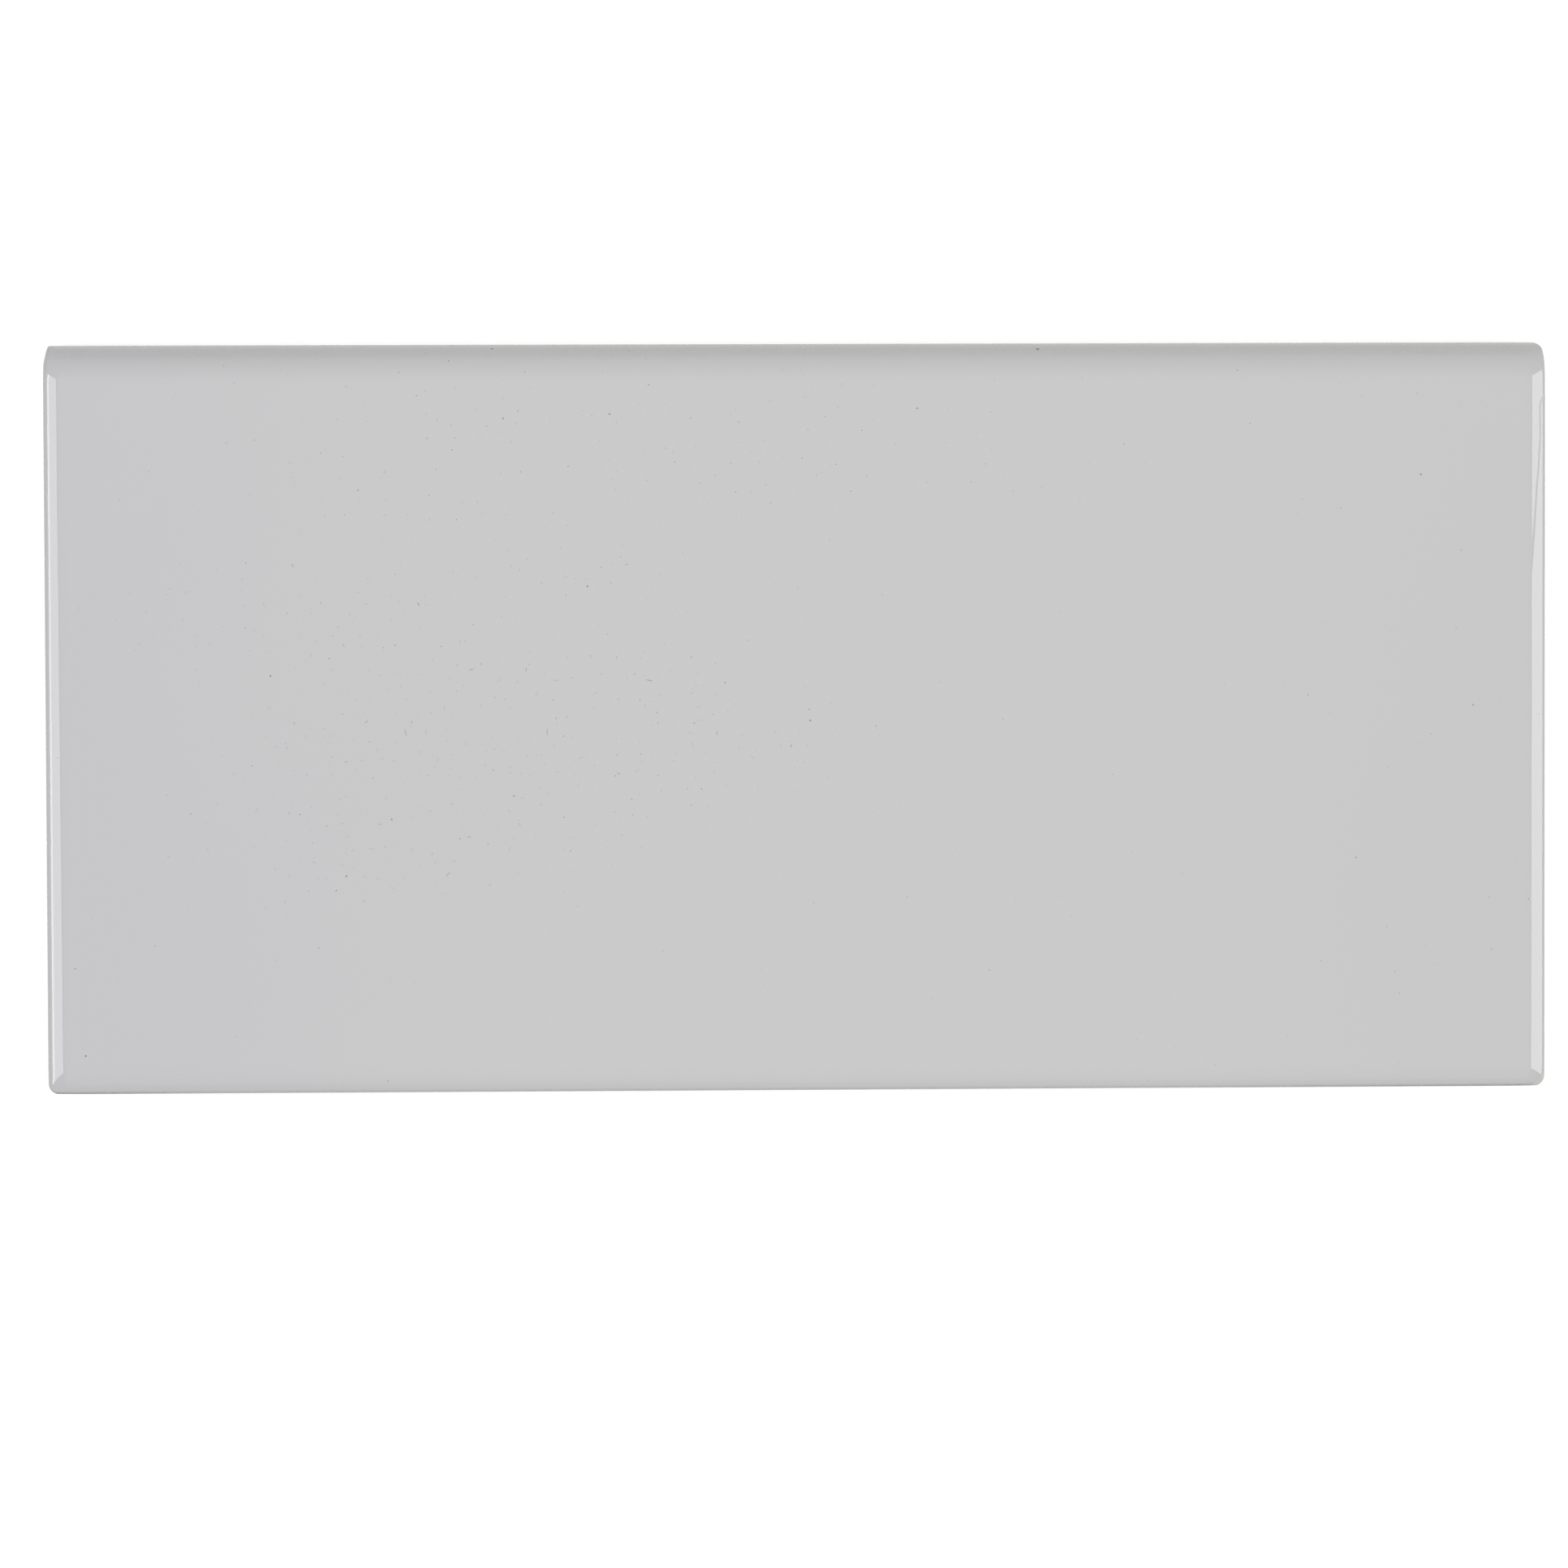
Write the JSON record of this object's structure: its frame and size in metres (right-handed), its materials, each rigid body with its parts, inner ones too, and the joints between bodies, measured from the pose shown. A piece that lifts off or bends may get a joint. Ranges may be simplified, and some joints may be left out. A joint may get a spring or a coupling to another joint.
{
  "type": "bullnose tile",
  "caption": "Flat rectangular gloss-glazed ceramic wall tile with one long edge rounded over, made to finish the open edge of a tiled wall; grooved back beds in adhesive.",
  "frame": {"origin": "middle of the back's outline, on the lands that lie on the bed or floor", "axes": "+Z out of the glazed face, +Y towards the bullnose edge, +X along the bullnose edge"},
  "size_m": [0.1516, 0.0754, 0.0079],
  "materials": {
    "glazed_tile": "polished"
  },
  "bodies": {
    "root": {"bullnose_tile": "glazed_tile"}
  },
  "joints": []
}
